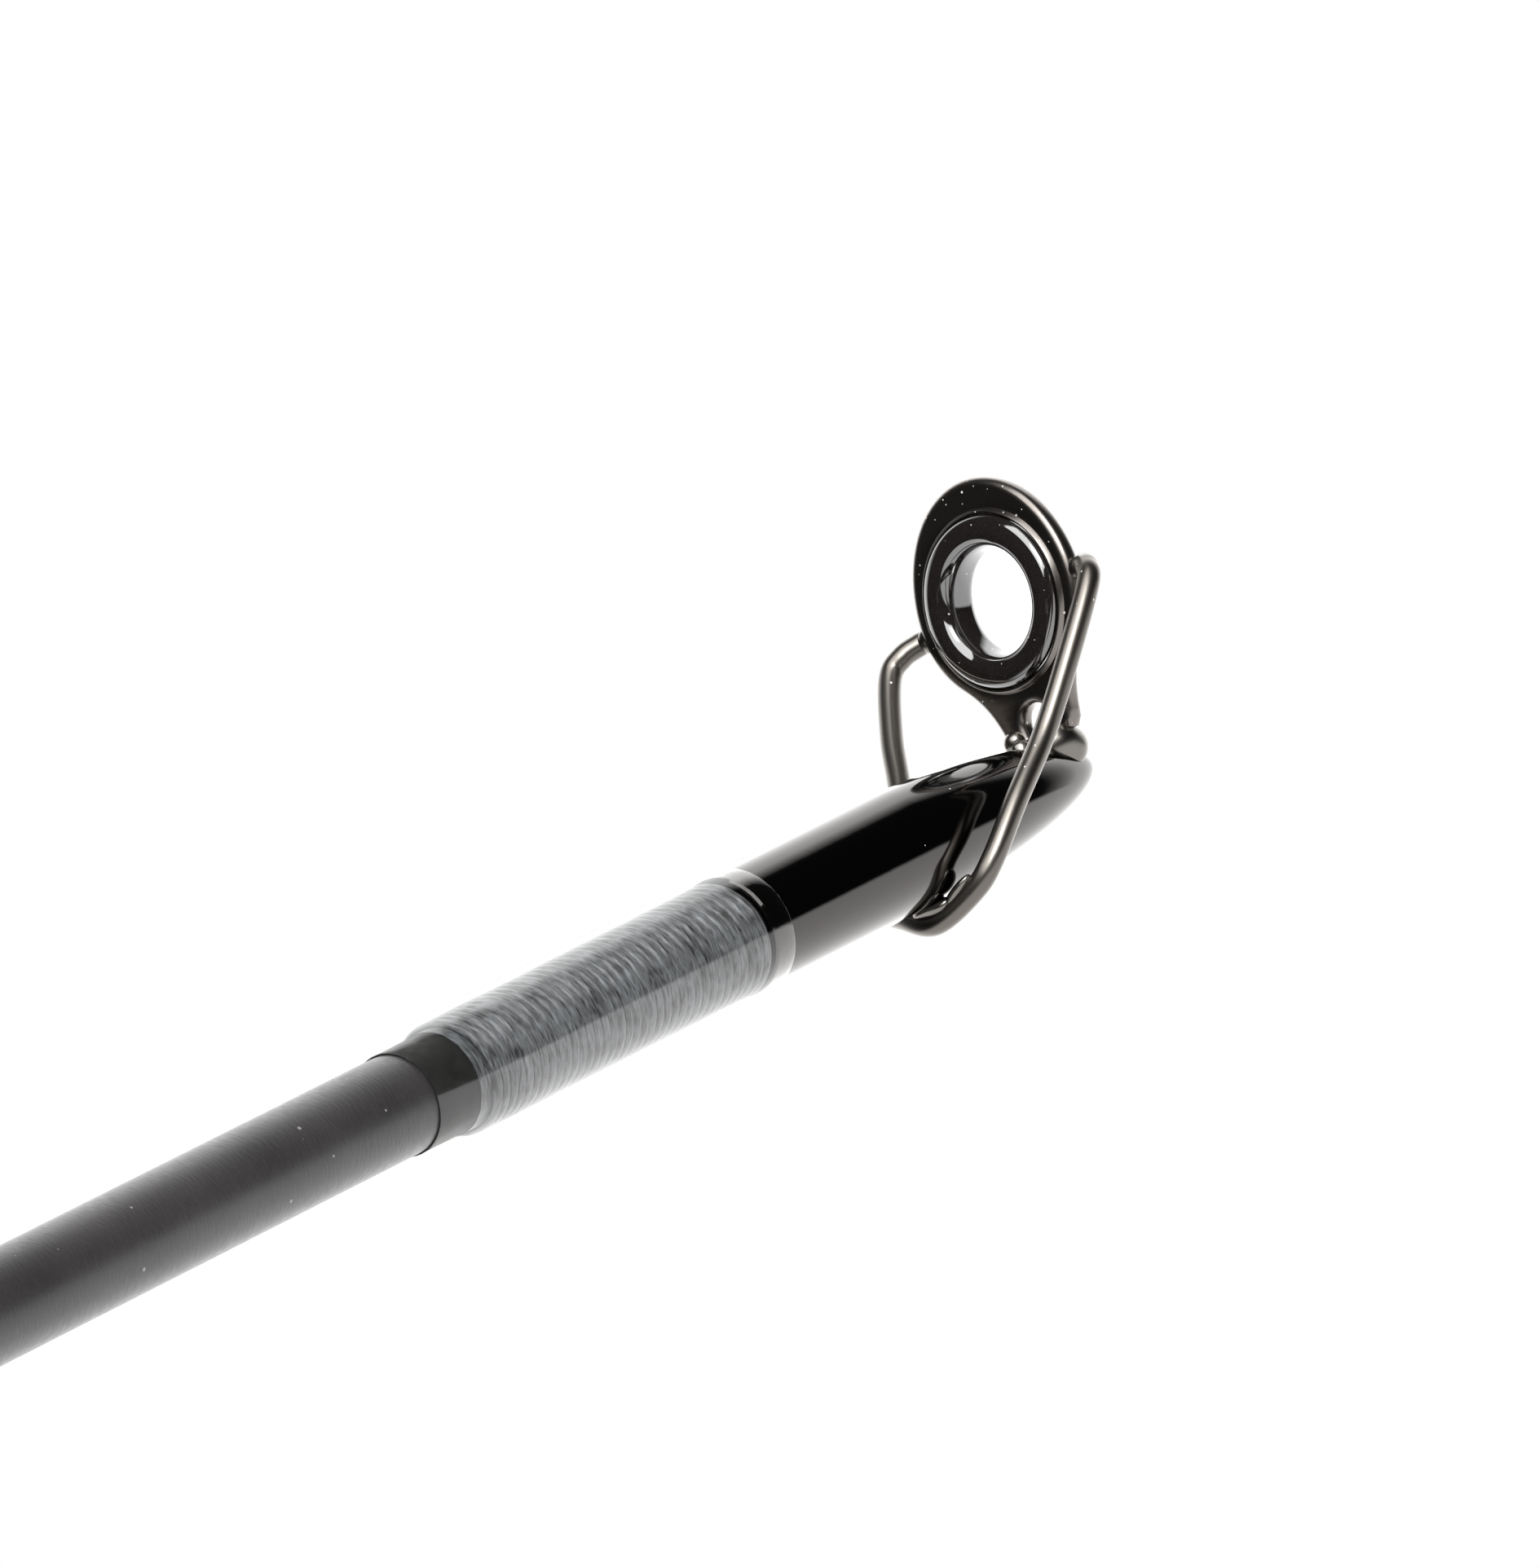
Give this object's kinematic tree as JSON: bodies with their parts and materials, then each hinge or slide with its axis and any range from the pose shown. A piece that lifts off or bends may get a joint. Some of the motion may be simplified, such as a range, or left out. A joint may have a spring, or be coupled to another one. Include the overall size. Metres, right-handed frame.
{
  "type": "fishing rod and reel",
  "caption": "Short overhead fishing rod with ringed guides, a plated tip-top with a ceramic ring and wire brace, and a round-sided reel clamped in a hooded seat.",
  "frame": {"origin": "centre of the butt cap's flat end face", "axes": "+X along the rod towards the tip, +Z towards the side that carries the guides and the reel, crank on the -Y side"},
  "size_m": [0.7113, 0.0668, 0.0747],
  "materials": {
    "glass_fibre": "satin-sanded dark grey fibre and resin",
    "rubber": "moulded matte",
    "foam": "closed-cell foam, ground matte",
    "graphite_nylon": "moulded fine texture",
    "silver_aluminium": "fine turned, clear anodised",
    "black_aluminium": "bead blasted, black anodised",
    "black_steel": "black plated",
    "black_chrome": "polished, black chrome plated",
    "ceramic": "polished black ceramic",
    "glue": "hot-melt adhesive",
    "braze": "solidified brazing metal, plated black",
    "thread": "dark grey nylon winding thread",
    "epoxy": "clear glossy epoxy coat",
    "steel": "ground",
    "brass": "machine cut",
    "carbon_fibre": "woven, greased"
  },
  "bodies": {
    "rod": {"blank": "glass_fibre", "butt_cap": "rubber", "rear_grip": "foam", "reel_seat": "graphite_nylon", "fore_grip": "foam", "winding_check": "silver_aluminium", "hook_keeper": "black_steel", "guide_1_frame": "black_steel", "guide_1_ring": "ceramic", "guide_1_wrap": "thread", "guide_1_front_wrap": "thread", "guide_2_frame": "black_steel", "guide_2_ring": "ceramic", "guide_2_wrap": "thread", "guide_3_frame": "black_steel", "guide_3_ring": "ceramic", "guide_3_wrap": "thread", "guide_4_frame": "black_steel", "guide_4_ring": "ceramic", "guide_4_wrap": "thread", "tip_tube": "black_chrome", "tip_adhesive": "glue", "tip_ring_frame": "black_chrome", "tip_ceramic_ring": "ceramic", "tip_brace_wire": "black_chrome", "braze_left": "braze", "braze_right": "braze", "braze_under": "braze", "tip_thread_wrap": "thread", "tip_epoxy_coat": "epoxy", "reel_foot": "silver_aluminium", "reel_frame": "black_aluminium", "left_side_plate": "black_aluminium", "right_side_plate": "black_aluminium", "bearing_left": "steel", "bearing_right": "steel"},
    "seat_hood": {"sliding_hood": "black_aluminium"},
    "seat_nut": {"lock_nut": "black_aluminium"},
    "spool_set": {"spool": "silver_aluminium", "spool_shaft": "steel", "pinion": "brass"},
    "drive_set": {"drive_gear": "brass", "drive_shaft": "steel", "drag_washer": "carbon_fibre", "drag_spring": "steel", "crank_arm": "silver_aluminium", "handle_nut": "steel", "knob_pin": "steel"},
    "star": {"star_drag": "black_aluminium"},
    "knob": {"crank_knob": "rubber"},
    "brake_cap": {"cast_control_cap": "silver_aluminium"},
    "clutch_lever": {"free_spool_lever": "black_aluminium"},
    "click": {"click_button": "silver_aluminium"}
  },
  "joints": [
    {"name": "seat_nut_spin", "type": "hinge", "parent": "seat_hood", "child": "seat_nut", "pos_m": [0.1465, 0, 0], "axis": [1, 0, 0], "range_deg": [0, 1920]},
    {"name": "seat_hood_slide", "type": "slide", "parent": "rod", "child": "seat_hood", "axis": [1, 0, 0], "range_m": [-0.008, 0]},
    {"name": "crank_turn", "type": "hinge", "parent": "rod", "child": "drive_set", "pos_m": [0.192, -0.02, 0.021], "axis": [0, 1, 0], "continuous": true},
    {"name": "spool_turn", "type": "hinge", "parent": "rod", "child": "spool_set", "pos_m": [0.192, 0, 0.031], "axis": [0, 1, 0], "continuous": true},
    {"name": "star_turn", "type": "hinge", "parent": "drive_set", "child": "star", "pos_m": [0.192, -0.0264, 0.021], "axis": [0, 1, 0], "range_deg": [-360, 360]},
    {"name": "knob_spin", "type": "hinge", "parent": "drive_set", "child": "knob", "pos_m": [0.21556, -0.038, 0.01001], "axis": [0, 1, 0], "continuous": true},
    {"name": "brake_cap_turn", "type": "hinge", "parent": "rod", "child": "brake_cap", "pos_m": [0.192, 0.019, 0.031], "axis": [0, 1, 0], "range_deg": [-360, 360]},
    {"name": "clutch_lever_tilt", "type": "hinge", "parent": "rod", "child": "clutch_lever", "pos_m": [0.188, -0.024, 0.041], "axis": [0, 1, 0], "range_deg": [0, 30]},
    {"name": "click_slide", "type": "slide", "parent": "rod", "child": "click", "axis": [1, 0, 0], "range_m": [-0.003, 0]}
  ],
  "couplings": [
    {"joint": "seat_hood_slide", "follows": "seat_nut_spin", "m_per_rad": -0.00023873},
    {"joint": "spool_turn", "follows": "crank_turn", "ratio": -3}
  ]
}
